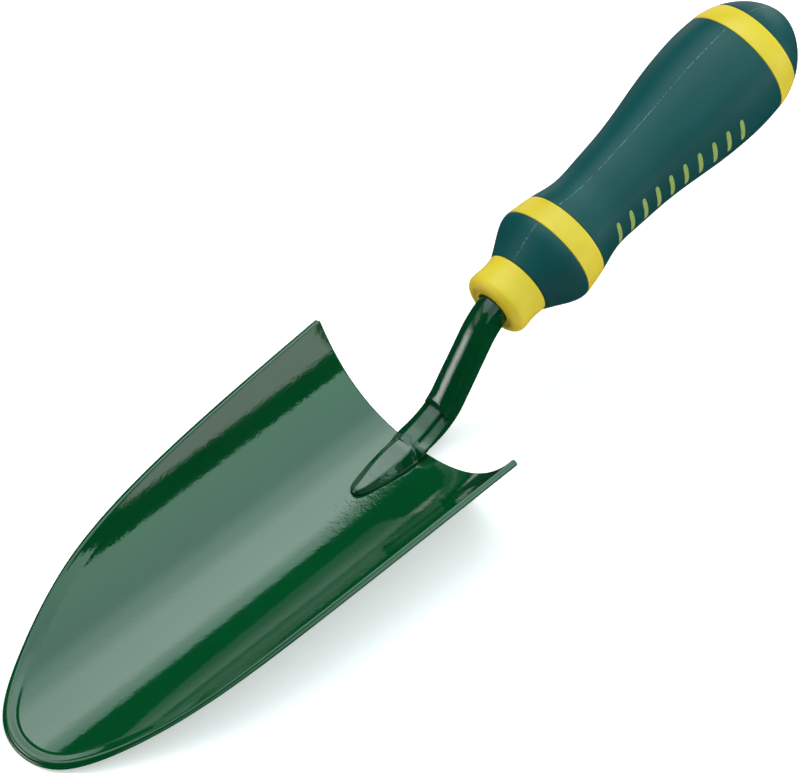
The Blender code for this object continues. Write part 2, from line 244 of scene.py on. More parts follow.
def grip_rubber():
    """Soft teal rubber: eggshell surface with tiny pits and a few paler rub marks."""
    rubber = Surface("grip_rubber_detail")
    cloud = rubber.spread(rubber.noise(18.0, detail=3.0), 0.35, 0.65)
    colour = rubber.blend(cloud, (0.0005, 0.056, 0.058), (0.0008, 0.064, 0.066))
    rub = rubber.noise(7.0, detail=6.0, roughness=0.65, stretch=(0.45, 1.0, 1.0))
    colour = rubber.blend(rubber.spread(rub, 0.56, 0.76, 0.0, 0.5), colour, (0.006, 0.076, 0.077))
    pits = rubber.spread(rubber.noise(0.5, detail=2.0), 0.60, 0.75)
    colour = rubber.blend(rubber.math("MULTIPLY", pits, 0.35), colour, (0.0005, 0.034, 0.035))
    skin = rubber.bump(rubber.noise(0.42, detail=3.0), 0.010)
    skin = rubber.bump(rubber.noise(6.0, detail=2.0), 0.05, below=skin)
    rough = rubber.spread(rub, 0.3, 0.75, 0.40, 0.50)
    rubber.set(Base_Color=colour, Roughness=rough, Normal=skin, Specular_IOR_Level=0.26)
    return rubber.material


def thin_rubber():
    """The parting line's flash: the same rubber, with pale flecks painted on its thin edge as
    highlight, over a colour darker than the rubber.
    """
    flash = Surface("flash_painted_highlight")
    ink_wear_and_flash_highlight = flash.spread(flash.noise(0.9, detail=3.0), 0.40, 0.62)
    # painted highlight: the pale flecks stand in for glints on the flash's edge
    colour = flash.blend(ink_wear_and_flash_highlight, (0.0006, 0.030, 0.031), (0.060, 0.210, 0.210))
    skin = flash.bump(flash.noise(0.4, detail=2.0), 0.010)
    rough = flash.spread(ink_wear_and_flash_highlight, 0.0, 1.0, 0.42, 0.55)
    flash.set(Base_Color=colour, Roughness=rough, Normal=skin)
    return flash.material


def pad_print():
    """Yellow-green ink printed on the rubber, thin enough for the rubber to show in places."""
    ink = Surface("pad_print_ink")
    ink_wear_and_flash_highlight = ink.spread(ink.noise(0.8, detail=4.0, roughness=0.6), 0.60, 0.74)
    colour = ink.blend(ink_wear_and_flash_highlight, (0.30, 0.36, 0.075), (0.06, 0.14, 0.07))
    skin = ink.bump(ink.noise(0.4, detail=2.0), 0.008)
    rough = ink.spread(ink_wear_and_flash_highlight, 0.0, 1.0, 0.48, 0.58)
    ink.set(Base_Color=colour, Roughness=rough, Normal=skin)
    return ink.material


# ------------------------------------------------------------------ blade

BLADE_LENGTH = 154.0
SCOOP_HALF_WIDTH = 38.6
SCOOP_DEPTH = 25.0
SCOOP_SQUARENESS = 0.42  # 0 would make the section across a parabola
BLADE_OUTLINE = (  # distance from the tip as a share of the length, half width
    (0.00, 0.0),
    (0.02, 10.3),
    (0.06, 16.05),
    (0.15, 23.2),
    (0.30, 30.8),
    (0.50, 35.1),
    (0.75, 37.3),
    (1.00, 38.6),
)
CORNER_RADIUS = 0.6  # the blade's two rear corners, seen from above
RIM_BAND = np.concatenate(  # how far in from the outline the points of the edge band lie
    [[1.0, 1.15, 1.4, 1.8, 2.2, 2.5], np.linspace(2.6, 4.9, 14), [5.3, 6.0]]
)
LIP_RISE = 0.42  # the lip round the tip stands this high above the hollow
LIP_STEP = (3.0, 4.3)  # from the outline, where the lip's inner slope starts and ends
LIP_TILT = 0.27  # the lip falls a little towards its rim
LIP_END = (6.0, 30.0)  # distances from the tip over which the lip turns into a side bevel
BEVEL_TILT = 0.13  # slope of the side bevel
BEVEL_WIDTH = 4.1
BEVEL_END = (30.0, 75.0)  # distances from the tip over which the side bevel dies out
CORE_STRIPS = 72  # strips between the two edge bands
RIM_STEPS = 28
RIM_SQUARENESS = 0.6  # 1 would make the sheared rim a full half circle
RIM_SLANT = 1.1  # the lip's lower edge stands out this far past its upper edge at the tip
RIM_SLANT_END = (4.0, 40.0)  # distances from the tip over which the slant dies out
RIM_GROOVE = 0.14  # a fine score left by the shear along the middle of the rim
RIM_GROOVE_SPREAD = 0.16  # how far the score reaches to each side, as the sine of the rim's turn
TIP_ROWS = 120
CORNER_ROWS = 4
REAR_ROWS = 4
CORNER_LEAD = 0.3  # between the last of the tip's rows and the corner
REAR_LEAD = 0.25  # between the last of the corner's rows and the rear edge's round
REAR_FIRST = 0.05  # between the first of the rear edge's rows and its round
REAR_ROUND = 0.3  # the sheared rear edge is only lightly rounded
REAR_FACE_RING = 0.9  # a ring in the rear face, as a share of its half thickness
OUTLINE_END = 0.15  # the rear rows keep the outline that the blade has this far from its end
SQUARE_RUN = 0.3  # the rows turn square to the length over this last share of it

half_width_by_root = smooth_curve([(math.sqrt(share), half) for share, half in BLADE_OUTLINE])
ACROSS = np.linspace(0.0, 45.0, 3000)  # positions at which the arc's length across is worked out


def scoop_height(y):
    """Height of the hollow's surface."""
    share = np.abs(y) / SCOOP_HALF_WIDTH
    return SCOOP_DEPTH * ((1 - SCOOP_SQUARENESS) * share**2 + SCOOP_SQUARENESS * share**4)


def scoop_slope(y):
    """Slope of the hollow across the blade."""
    share = y / SCOOP_HALF_WIDTH
    rise = 2 * (1 - SCOOP_SQUARENESS) * share + 4 * SCOOP_SQUARENESS * share**3
    return SCOOP_DEPTH / SCOOP_HALF_WIDTH * rise


arc_steps = np.hypot(1.0, scoop_slope(ACROSS)) * (ACROSS[1] - ACROSS[0])
ARC_LENGTH = np.concatenate([[0.0], np.cumsum((arc_steps[1:] + arc_steps[:-1]) / 2)])


def half_width(x):
    """Half width of the blade's outline, with the rear corners rounded."""
    half = half_width_by_root(np.sqrt(np.clip(x, 0.0, None) / BLADE_LENGTH))
    into = np.clip(x - (BLADE_LENGTH - CORNER_RADIUS), 0.0, CORNER_RADIUS)
    return half - (CORNER_RADIUS - np.sqrt(CORNER_RADIUS**2 - into**2))


def rim_rows():
    """x, position on the arc across, and inward direction of the outline, for each row."""
    corner = BLADE_LENGTH - CORNER_RADIUS
    x = (corner - CORNER_LEAD) * np.linspace(0.0, 1.0, TIP_ROWS) ** 2
    last = BLADE_LENGTH - REAR_ROUND - REAR_LEAD
    x = np.concatenate([x, np.linspace(corner, last, CORNER_ROWS + 1)[1:]])
    arc = np.interp(half_width(x), ACROSS, ARC_LENGTH)
    near = np.sqrt(x)
    along, across = np.gradient(x, near), np.gradient(arc, near)
    along[0] = 0.0
    across *= np.clip((corner - x) / (SQUARE_RUN * BLADE_LENGTH), 0.0, 1.0)
    size = np.hypot(along, across)
    size[size == 0] = 1.0
    inward_x, inward_arc = across / size, -along / size
    inward_x[0], inward_arc[0] = 1.0, 0.0
    return x, arc, inward_x, inward_arc


def sheet_place(x, arc, lift):
    """Points at x and at a signed distance along the arc, lifted square to the sheet's middle."""
    y = np.sign(arc) * np.interp(np.abs(arc), ARC_LENGTH, ACROSS)
    slope = scoop_slope(y)
    length = np.hypot(1.0, slope)
    lift = lift - HALF_SHEET
    return np.stack([x, y - lift * slope / length, scoop_height(y) + lift / length], axis=-1)


def rear_rows():
    """x, position on the arc across, and half thickness, for each row of the rear edge."""
    angle = np.linspace(0.0, math.pi / 2, REAR_ROWS + 1)[1:]
    x = BLADE_LENGTH - REAR_ROUND * (1 - np.sin(angle))
    half = HALF_SHEET - REAR_ROUND * (1 - np.cos(angle))
    x = np.concatenate([[BLADE_LENGTH - REAR_ROUND - REAR_FIRST], x, [BLADE_LENGTH] * 2])
    half = np.concatenate([[HALF_SHEET], half, [REAR_FACE_RING * half[-1], 0.0]])
    outline = half_width(np.minimum(x, BLADE_LENGTH - OUTLINE_END))
    return x, np.interp(outline, ACROSS, ARC_LENGTH), half


def sheet_rows():
    """x, position on the arc, inward direction and half thickness, from the tip to the rear face."""
    x, arc, inward_x, inward_arc = rim_rows()
    rear_x, rear_arc, rear_half = rear_rows()
    half = np.concatenate([np.full(len(x), HALF_SHEET), rear_half])
    x = np.concatenate([x, rear_x])
    arc = np.concatenate([arc, rear_arc])
    inward_x = np.concatenate([inward_x, np.zeros(len(rear_x))])
    inward_arc = np.concatenate([inward_arc, -np.ones(len(rear_x))])
    return zip(x, arc, inward_x, inward_arc, half)


def edge_rise(x, inset):
    """Height over the plain sheet of the tip's lip, or of the side bevel that follows it."""
    past_lip = smooth_step((x - LIP_END[0]) / (LIP_END[1] - LIP_END[0]))
    past_bevel = smooth_step((x - BEVEL_END[0]) / (BEVEL_END[1] - BEVEL_END[0]))
    inner_slope = smooth_step((inset - LIP_STEP[0]) / (LIP_STEP[1] - LIP_STEP[0]))
    outer_fall = LIP_TILT * np.clip(LIP_STEP[0] - inset, 0.0, None)
    lip = (1 - past_lip) * (LIP_RISE * (1 - inner_slope) - outer_fall)
    bevel = past_lip * (1 - past_bevel) * BEVEL_TILT
    return lip - bevel * np.clip(BEVEL_WIDTH - inset, 0.0, None)


def rim_points(x, arc, inward_x, inward_arc, half, rise, slant):
    """Points round the sheared rim, from the upper face to the lower one."""
    turn = np.linspace(math.pi / 2, -math.pi / 2, RIM_STEPS + 1)[1:-1]
    swing = np.sign(turn) * np.abs(np.sin(turn)) ** RIM_SQUARENESS
    reach = slant * (1 - swing) / 2
    if half > 0:
        groove = RIM_GROOVE * np.exp(-((np.sin(turn) / RIM_GROOVE_SPREAD) ** 2))
        reach = reach + HALF_SHEET * np.abs(np.cos(turn)) ** RIM_SQUARENESS - groove
    lift = rise / 2 + (half + rise / 2) * swing
    return sheet_place(x - reach * inward_x, arc - reach * inward_arc, lift)


def blade_row(x, arc, inward_x, inward_arc, half):
    """One closed row of points: over the upper face, round a rim, and back below to the other."""
    slant = RIM_SLANT * np.interp(x, RIM_SLANT_END, (1.0, 0.0))
    inset = RIM_BAND + slant / 2
    band_x, band_arc = x + inset * inward_x, arc + inset * inward_arc
    rise = edge_rise(x, inset)
    upper_band = sheet_place(band_x, band_arc, half + rise)
    lower_band = sheet_place(band_x, band_arc, -half)
    core = np.linspace(-1.0, 1.0, CORE_STRIPS + 1)[1:-1]
    core_x, core_arc = np.full(len(core), band_x[-1]), band_arc[-1] * core
    upper_core = sheet_place(core_x, core_arc, half)
    lower_core = sheet_place(core_x, core_arc, -half)
    rim = rim_points(band_x[0], band_arc[0], inward_x, inward_arc, half, rise[0], slant)
    side = np.concatenate([upper_band[::-1], rim, lower_band])
    mirrored = side[::-1] * np.array([1.0, -1.0, 1.0])
    return np.concatenate([upper_core, side, lower_core[::-1], mirrored])


def make_blade(material):
    """A pressed sheet with rounded edges all round and a shallow lip at the tip."""
    points = np.array([blade_row(*row) for row in sheet_rows()])
    faces = grid_faces(points.shape[0], points.shape[1])
    add_piece("blade_sheet", points, faces, material, ["blade"])


# ------------------------------------------------------------------ tang

FOOT_START = 128.0  # the foot's nose, from the blade's tip
FOOT_FLAT = 26.7  # length of the bar before its lower bend
NECK_HEIGHT = 4.2  # height of the bar's centreline over the hollow, along the foot
LOWER_BEND = 15.8  # radius
NECK_SLOPE = math.radians(54.3)
NECK_LENGTH = 19.7  # the straight part between the bends
UPPER_BEND = 21.2  # radius
HANDLE_TILT = math.radians(13.84)
BEND_IN_COLLAR = 5.6  # the upper bend ends this far inside the collar
TANG_DEPTH = 60.0  # from the collar's front to the end of the spike
TANG_RUNS = (  # length, turn
    (FOOT_FLAT, 0.0),
    (LOWER_BEND * NECK_SLOPE, NECK_SLOPE),
    (NECK_LENGTH, 0.0),
    (UPPER_BEND * (NECK_SLOPE - HANDLE_TILT), HANDLE_TILT - NECK_SLOPE),
    (TANG_DEPTH - BEND_IN_COLLAR, 0.0),
)
COLLAR_AT = sum(length for length, _ in TANG_RUNS) - TANG_DEPTH
TANG_SIDES = 144
TANG_SOFTNESS = 26  # how crisp the forged edges are; higher is sharper

# Sections along the bar: distance, radius of the bar, half width, top, bottom, then for the left
# and for the right the half width of the top flat and the height where its bevel meets the side.
TANG_SECTIONS = (
    (0.0, 6.0, 0.35, -3.35, -3.9, 0.1, -3.6, 0.1, -3.6),
    (0.25, 6.0, 1.15, -2.85, -3.9, 0.3, -3.45, 0.6, -3.5),
    (0.8, 6.0, 1.95, -2.45, -3.95, 0.35, -3.35, 0.9, -3.5),
    (1.6, 6.0, 2.4, -2.2, -4.0, 0.4, -3.3, 1.2, -3.5),
    (3.0, 6.0, 2.95, -2.05, -4.0, 0.6, -3.3, 1.65, -3.6),
    (6.7, 6.2, 3.85, -1.75, -4.1, 1.5, -3.3, 2.1, -3.75),
    (10.0, 6.3, 4.5, -1.4, -4.1, 2.2, -3.2, 2.45, -3.67),
    (13.3, 6.5, 5.0, -1.0, -4.2, 2.7, -3.1, 2.75, -3.52),
    (16.6, 6.7, 5.4, -0.55, -4.2, 2.9, -2.9, 2.95, -3.47),
    (20.0, 6.7, 5.55, 0.0, -4.2, 2.9, -2.5, 2.85, -3.42),
    (21.6, 6.5, 5.6, 0.1, -4.1, 2.8, -2.1, 2.3, -3.6),
    (23.0, 6.3, 5.6, 0.05, -4.0, 2.8, -1.2, 1.9, -1.3),
    (24.6, 6.0, 5.55, -0.05, -4.0, 2.8, -0.6, 1.8, 0.1),
    (26.7, 5.45, 5.4, 0.0, -3.85, 2.8, 0.2, 1.8, 0.9),
    (30.0, 5.25, 5.2, 0.0, -3.8, 2.8, 1.0, 1.8, 1.6),
    (36.4, 5.2, 5.15, 2.4, -4.0, 2.6, 1.4, 1.8, 2.0),
    (37.1, 5.2, 5.15, 4.3, -4.2, 4.1, 4.1, 4.1, 4.1),
    (39.0, 5.2, 5.15, 4.95, -4.4, 4.1, 4.1, 4.1, 4.1),
    (41.0, 5.15, 5.15, 5.1, -4.6, 4.1, 4.1, 4.1, 4.1),
    (49.0, 5.15, 5.15, 5.15, -4.9, 4.1, 4.1, 4.1, 4.1),
    (55.0, 5.1, 5.1, 5.1, -5.1, 4.1, 4.1, 4.1, 4.1),
    (92.7, 5.1, 5.1, 5.1, -5.1, 4.1, 4.1, 4.1, 4.1),
    (104.7, 5.0, 4.2, 4.2, -4.2, 3.4, 3.4, 3.4, 3.4),
    (128.7, 4.2, 3.1, 3.1, -3.1, 2.5, 2.5, 2.5, 2.5),
    (130.7, 3.3, 2.4, 2.4, -2.4, 1.9, 1.9, 1.9, 1.9),
)
NOSE_STATIONS = (0.0, 0.06, 0.14, 0.25, 0.4, 0.6, 0.85)
TANG_STATIONS = (  # runs along the bar and the distance between their sections
    (1.1, 21.8, 0.4),
    (21.8, 25.0, 0.1),
    (25.0, 36.0, 0.35),
    (36.0, 37.6, 0.1),
    (37.6, 58.0, 0.4),
    (58.0, COLLAR_AT + TANG_DEPTH, 1.2),
)
NECK_FLAT = (  # distance and top of the neck's flat, straight in space while the bar bends
    (18.0, -0.4),
    (22.3, 0.3),
    (25.0, 1.05),
    (28.0, 1.95),
    (30.0, 2.45),
    (33.0, 2.8),
    (34.8, 2.75),
    (36.4, 2.6),
)
STEP_AT = 22.3  # straight lower line of the step between the foot's flat and the neck's flat
STEP_RUN = 0.9  # length of the step at its two sides
STEP_ARC = 1.5  # how far the step's upper line bows out past that in its middle
STEP_MIDDLE = 1.0  # the bow's middle, to the left of the bar's
STEP_HALF = 2.4  # half the bow's width
SHOULDER_AT = 36.4  # end of the neck's flat
SHOULDER_RUN = 0.7  # length of the rise from there to the round bar
CROWN = 0.02  # the foot's flat falls away a little to the right
CROWN_FROM = 1.2  # where the fall starts across the foot
CROWN_RUN = (1.0, 6.0, 20.0, 24.0)  # where the crown grows and dies out along the foot
UNDERCUT = 1.2  # the bar narrows towards its bottom below this height over it
GUTTER = 1.1  # the neck's flat drops by this to the forging's strip on its right
GUTTER_Y = -1.8  # where the drop starts across the bar
GUTTER_RISE = (-1.2, 1.0)  # heights over the centreline between which the drop comes in
GUTTER_RUN = (22.4, 25.0, 36.0, 44.0)  # where the drop grows and dies out along the bar
FOOT_SUNK = 0.05  # the foot's underside is this far inside the sheet
SETTLING_ROUNDS = 2  # the top's height depends on the width found, so each section is redone
LEAST_FACING = 0.02  # a plane turned further from a ray than this doesn't limit it
NO_LIMIT = 1e3
LEAST_RADIUS = 0.05

neck_flat = smooth_curve(NECK_FLAT)


def tang_place(along):
    """(x, z, angle) of the bar's centreline at a distance along it from the foot's nose."""
    x, z, angle = FOOT_START, NECK_HEIGHT, 0.0
    for length, turn in TANG_RUNS:
        part = min(along, length)
        along -= part
        turned = turn * part / length
        chord = part if turned == 0 else part * math.sin(turned / 2) / (turned / 2)
        x += chord * math.cos(angle + turned / 2)
        z += chord * math.sin(angle + turned / 2)
        angle += turned
    return x, z, angle


def step_top(along, top, y):
    """Height of the top, crowned on the foot, where a step in an arc leads up to the neck's flat."""
    crown = CROWN * np.interp(along, CROWN_RUN, (0.0, 1.0, 1.0, 0.0))
    top = top - crown * np.clip(CROWN_FROM - y, 0.0, None) ** 2
    if along <= STEP_AT or along > SHOULDER_AT + SHOULDER_RUN:
        return top
    bow = STEP_RUN + STEP_ARC * np.clip(1 - ((y - STEP_MIDDLE) / STEP_HALF) ** 2, 0.0, 1.0)
    share = np.clip((along - STEP_AT) / bow, 0.0, 1.0)
    neck = neck_flat(np.clip(STEP_AT + bow, along, SHOULDER_AT))
    neck = neck + (top - neck) * smooth_step((along - SHOULDER_AT) / SHOULDER_RUN)
    return top + (neck - top) * share


def plane_limit(distance, facing):
    """Where rays meet a plane at this distance; facing is each ray's share towards the plane."""
    met = distance / np.maximum(facing, LEAST_FACING)
    return np.where(facing > LEAST_FACING, met, NO_LIMIT)


def tang_section(along, shape):
    """Points of one section, each the smooth least of the limits in its direction."""
    reach, half, top, bottom, left_flat, left_bevel, right_flat, right_bevel = shape
    shown_top = float(step_top(along, top, np.zeros(1))[0])
    middle = (shown_top + bottom) / 2
    height = (shown_top - bottom) / 2
    turn = 2 * math.pi * (np.arange(TANG_SIDES) + 0.5) / TANG_SIDES
    c, s = half * np.cos(turn), height * np.sin(turn)
    size = np.hypot(c, s)
    c, s = c / size, s / size
    flat = np.where(c > 0, left_flat, right_flat)
    bevel = np.where(c > 0, left_bevel, right_bevel)
    circle = np.sqrt(reach**2 - (c * middle) ** 2) - s * middle
    sides = half / np.abs(c)
    diagonal = math.sqrt(0.5)
    waist = (half - np.minimum(bevel, bottom + UNDERCUT) + middle) * diagonal
    undercut = plane_limit(waist, (np.abs(c) - s) * diagonal)
    radius = np.minimum(circle, sides)
    for _ in range(SETTLING_ROUNDS):
        rise = step_top(along, top, radius * c) - middle
        ends = np.where(s > 0, rise, height) / np.abs(s)
        edge = step_top(along, top, np.where(c > 0, flat, -flat))
        length = np.hypot(edge - bevel, half - flat)
        across, up = (edge - bevel) / length, (half - flat) / length
        slope = plane_limit(across * flat + up * (edge - middle), across * np.abs(c) + up * s)
        limits = np.maximum([circle, sides, ends, slope, undercut], LEAST_RADIUS)
        radius = (limits**-TANG_SOFTNESS).sum(axis=0) ** (-1 / TANG_SOFTNESS)
    return radius * c, middle + radius * s


def make_tang(material):
    """The forged bar: flattened foot with a bevelled rim, stepped flats, and the cranked neck."""
    runs = [np.arange(*run) for run in TANG_STATIONS]
    stations = np.concatenate([NOSE_STATIONS] + runs + [[COLLAR_AT + TANG_DEPTH]])
    table = np.array(TANG_SECTIONS)
    rows = []
    for along in stations:
        shape = [np.interp(along, table[:, 0], column) for column in table[:, 1:].T]
        y, up = tang_section(along, shape)
        x, z, angle = tang_place(along)
        drop = GUTTER * np.interp(along, GUTTER_RUN, (0.0, 1.0, 1.0, 0.0))
        drop = drop * np.clip(GUTTER_Y - y, 0.0, 1.0) * np.interp(up, GUTTER_RISE, (0.0, 1.0))
        height = z + up * math.cos(angle) - drop
        if along <= FOOT_FLAT:
            height = np.maximum(height, scoop_height(y) - FOOT_SUNK)
        rows.append(np.stack([x - up * math.sin(angle), y, height], axis=-1))
    points = np.array(rows)
    faces = grid_faces(len(rows), TANG_SIDES)
    count = len(rows) * TANG_SIDES
    faces += [tuple(range(TANG_SIDES)), tuple(range(count - TANG_SIDES, count))]
    add_piece("forged_tang", points, faces, material, ["tang"])


WELD_HALF_LENGTH = 3.9
WELD_BEHIND = 2.6  # size of the bead's section, along the blade
WELD_BELOW = 1.9  # and down from the hollow's surface
WELD_CORNER = (-0.4, 0.3)  # the section's corner: from the rear edge, and over the hollow's bottom
WELD_TURN = (-0.25, math.pi / 2 + 0.2)  # the part of a round that the section takes
WELD_SQUEEZE = 0.2  # the section's round is narrower than a circle's at its middle
WELD_TAPER = 0.9  # 1 would bring the bead to a point at its ends
WELD_RIPPLE = 0.05  # depth of the ripples as a share of the bead
WELD_RIPPLE_TURN = 22  # radians of ripple over half the length
WELD_STEPS = 40
WELD_SIDES = 20


def make_weld(material):
    """The weld behind the blade's rear edge: overlapping ripples of one bead."""
    turn = np.linspace(*WELD_TURN, WELD_SIDES)
    squeeze = 1 - WELD_SQUEEZE + WELD_SQUEEZE * np.cos(4 * np.clip(turn, 0, math.pi / 2))
    rows = []
    for share in np.linspace(-1.0, 1.0, WELD_STEPS + 1):
        swell = math.sqrt(1 - WELD_TAPER * share**2)
        swell *= 1 + WELD_RIPPLE * math.cos(share * WELD_RIPPLE_TURN)
        x = BLADE_LENGTH + WELD_CORNER[0] + WELD_BEHIND * swell * squeeze * np.sin(turn)
        z = WELD_CORNER[1] - WELD_BELOW * swell * squeeze * np.cos(turn)
        y = np.full(WELD_SIDES, WELD_HALF_LENGTH * share)
        rows.append(np.stack([x, y, z], axis=-1))
    points = np.array(rows)
    faces = grid_faces(len(rows), WELD_SIDES)
    count = len(rows) * WELD_SIDES
    faces += [tuple(range(WELD_SIDES)), tuple(range(count - WELD_SIDES, count))]
    add_piece("weld_fillet", points, faces, material, ["weld_bead"])


# ------------------------------------------------------------------ handle

COLLAR_RADIUS = 10.5
COLLAR_ROUND = 2.75
COLLAR_ROUND_STEPS = 14
COLLAR_LENGTH = 11.4
COLLAR_WAIST = 0.28  # the collar is this much slimmer halfway
COLLAR_WAIST_RUN = (COLLAR_ROUND + 1.0, COLLAR_LENGTH - 0.5)
COLLAR_WAIST_STEPS = 8
COLLAR_REAR_EDGE = ((0.22, 0.05), (0.06, 0.18), (0.0, 0.42))  # distance ahead of its end, dip
RECESS_RADIUS = 7.0
RECESS_DEPTH = 0.25
RECESS_EDGE = 0.12
MOUTH_RADIUS = 5.45
FRONT_RING = (23.8, 31.8)
REAR_RING = (107.1, 115.3)
RING_STEPS = 12
NOSE_STEPS = 30
GRIP_STEPS = 110
INSIDE_STEPS = 29
DOME_STEPS = 39
CORE_STEPS = 23
HANDLE_LENGTH = 128.6
GRIP_OUTLINE = (  # distance behind the collar's front, radius
    (11.4, 10.75),
    (16.0, 13.3),
    (20.0, 15.45),
    (23.0, 16.25),
    (26.0, 16.0),
    (32.0, 14.95),
    (40.0, 13.2),
    (50.0, 13.35),
    (60.0, 14.0),
    (70.0, 15.25),
    (82.0, 17.2),
    (94.0, 18.45),
    (100.0, 18.65),
    (107.0, 18.3),
)
DOME_POWER = 1.75  # 2 would make the cap's end an ellipse
SLEEVE_WALL = 3.0
SLEEVE_PLAY = 0.3  # between the long sleeve's inside and the core
JOINT_GAP = 0.04  # between a sleeve's end and a ring
COLLAR_GAP = 0.06
SEAM_GROOVE = 0.30  # size of the fine line between rubber and plastic
GROOVE_PROFILE = (  # distance from the joint and dip, as shares of that size
    (0.0, 1.0),
    (0.12, 0.52),
    (0.35, 0.22),
    (0.75, 0.06),
    (1.4, 0.0),
)
CORE_BORE = (  # the tang's hole in the core, from its end to its mouth: distance, radius
    (62.0, 0.0),
    (62.0, 4.6),
    (34.0, 5.25),
    (5.9, 5.3),
    (1.1, 5.3),
)
CORE_NOSE = ((COLLAR_LENGTH, 7.9), (FRONT_RING[0], 12.8))  # the core inside the rubber nose
CORE_TAIL = (  # the core inside the cap, then its own hollow
    (REAR_RING[1], 12.0),
    (119.0, 12.0),
    (119.0, 8.6),
    (66.0, 7.5),
    (66.0, 0.0),
)
NOSE_INSIDE = (8.5, 13.1)  # radius inside the rubber nose, at its two ends
CAP_INSIDE = ((119.3, 12.3), (119.3, 8.3), (110.0, 8.05), (110.0, 0.0))  # distance, radius
CAP_EDGE = 0.6  # the dome's own points start this far behind the joint
TURNED_SIDES = 160
SHARP_ANGLE = 50  # edges of the turned pieces that are sharper than this stay crisp; degrees

grip_curve = smooth_curve(GRIP_OUTLINE)
DOME_START, DOME_RADIUS = GRIP_OUTLINE[-1]


def grip_radius(t):
    """Outer radius of the handle behind its collar."""
    t = np.asarray(t, float)
    share = np.clip((t - DOME_START) / (HANDLE_LENGTH - DOME_START), 0.0, 1.0)
    dome = DOME_RADIUS * (1 - share**DOME_POWER) ** (1 / DOME_POWER)
    return np.where(t <= DOME_START, grip_curve(np.minimum(t, DOME_START)), dome)


def handle_front():
    """Where the handle's axis meets the collar's front plane."""
    x, z, _ = tang_place(COLLAR_AT + BEND_IN_COLLAR)
    return x - BEND_IN_COLLAR * math.cos(HANDLE_TILT), z - BEND_IN_COLLAR * math.sin(HANDLE_TILT)


def handle_place(t, radius, turn):
    """Points at a distance along the handle, a radius, and an angle from the left towards the top."""
    x0, z0 = handle_front()
    up = radius * np.sin(turn)
    x = x0 + t * math.cos(HANDLE_TILT) - up * math.sin(HANDLE_TILT)
    z = z0 + t * math.sin(HANDLE_TILT) + up * math.cos(HANDLE_TILT)
    return np.stack([x + 0 * turn, radius * np.cos(turn), z], axis=-1)


def turned_piece(name, profile, material, replaced):
    """Turn a closed outline of (distance, radius) points round the handle's axis."""
    t, radius = np.array(profile, float).T
    turn = 2 * math.pi * np.arange(TURNED_SIDES) / TURNED_SIDES
    t, radius = t[:, None] + 0 * turn, radius[:, None] + 0 * turn
    points = handle_place(t, radius, turn[None, :] + 0 * t)
    ring = profile[0][1] > 0  # any other outline starts and ends on the axis
    faces = grid_faces(len(profile), TURNED_SIDES, round_rows=ring)
    add_piece(name, points, faces, material, replaced, SHARP_ANGLE)


def edge_run(start, end, steps):
    """Outside points between two joints, dipping into a fine groove at each end."""
    near, dips = SEAM_GROOVE * np.array(GROOVE_PROFILE).T
    t = np.concatenate([start + near, np.linspace(start, end, steps + 1)[1:-1], end - near[::-1]])
    dip = np.concatenate([dips, np.zeros(steps - 1), dips[::-1]])
    return list(zip(t, grip_radius(t) - dip))


def collar_profile():
    """The collar's outside, from the recess in its front to its rear edge."""
    profile = [(RECESS_DEPTH, MOUTH_RADIUS), (RECESS_DEPTH, RECESS_RADIUS - RECESS_EDGE)]
    profile += [(RECESS_EDGE, RECESS_RADIUS), (0.0, RECESS_RADIUS + RECESS_EDGE)]
    for turn in np.linspace(0.0, math.pi / 2, COLLAR_ROUND_STEPS + 1):
        t = COLLAR_ROUND * (1 - math.cos(turn))
        profile.append((t, COLLAR_RADIUS - COLLAR_ROUND * (1 - math.sin(turn))))
    share = np.linspace(0.0, 1.0, COLLAR_WAIST_STEPS + 1)
    waist = COLLAR_WAIST_RUN[0] + (COLLAR_WAIST_RUN[1] - COLLAR_WAIST_RUN[0]) * share
    profile += list(zip(waist, COLLAR_RADIUS - COLLAR_WAIST * np.sin(math.pi * share)))
    return profile + [(COLLAR_LENGTH - ahead, COLLAR_RADIUS - dip) for ahead, dip in COLLAR_REAR_EDGE]


def make_core(material):
    """The yellow moulding with its collar, its recess round the neck and two flush rings."""
    inner = np.linspace(FRONT_RING[1], REAR_RING[0], CORE_STEPS + 1)
    profile = list(CORE_BORE) + collar_profile() + list(CORE_NOSE)
    profile += edge_run(*FRONT_RING, RING_STEPS)
    profile += list(zip(inner, grip_radius(inner) - SLEEVE_WALL))
    profile += edge_run(*REAR_RING, RING_STEPS) + list(CORE_TAIL)
    turned_piece("yellow_core", profile, material, ["handle_core"])


def make_sleeves(material):
    """The three rubber zones, each with softly closed edges against the yellow plastic."""
    start, end = COLLAR_LENGTH + COLLAR_GAP, FRONT_RING[0] - JOINT_GAP
    nose = edge_run(start, end, NOSE_STEPS) + [(end, NOSE_INSIDE[1]), (start, NOSE_INSIDE[0])]
    turned_piece("rubber_nose", nose, material, ["grip_nose"])
    start, end = FRONT_RING[1] + JOINT_GAP, REAR_RING[0] - JOINT_GAP
    t = np.linspace(end, start, INSIDE_STEPS + 1)
    inside = list(zip(t, grip_radius(t) - SLEEVE_WALL + SLEEVE_PLAY))
    grip = edge_run(start, end, GRIP_STEPS) + inside
    turned_piece("rubber_grip", grip, material, ["grip_main"])
    start = REAR_RING[1] + JOINT_GAP
    edge = edge_run(start, HANDLE_LENGTH, 1)[: len(GROOVE_PROFILE)]
    first = start + CAP_EDGE
    dome = first + (HANDLE_LENGTH - first) * np.sin(np.linspace(0, math.pi / 2, DOME_STEPS + 1))
    cap = edge + list(zip(dome, grip_radius(dome)))
    cap[-1] = (HANDLE_LENGTH, 0.0)
    cap = cap[::-1] + [(start, CAP_INSIDE[0][1])] + list(CAP_INSIDE)
    turned_piece("rubber_cap", cap, material, ["grip_cap"])


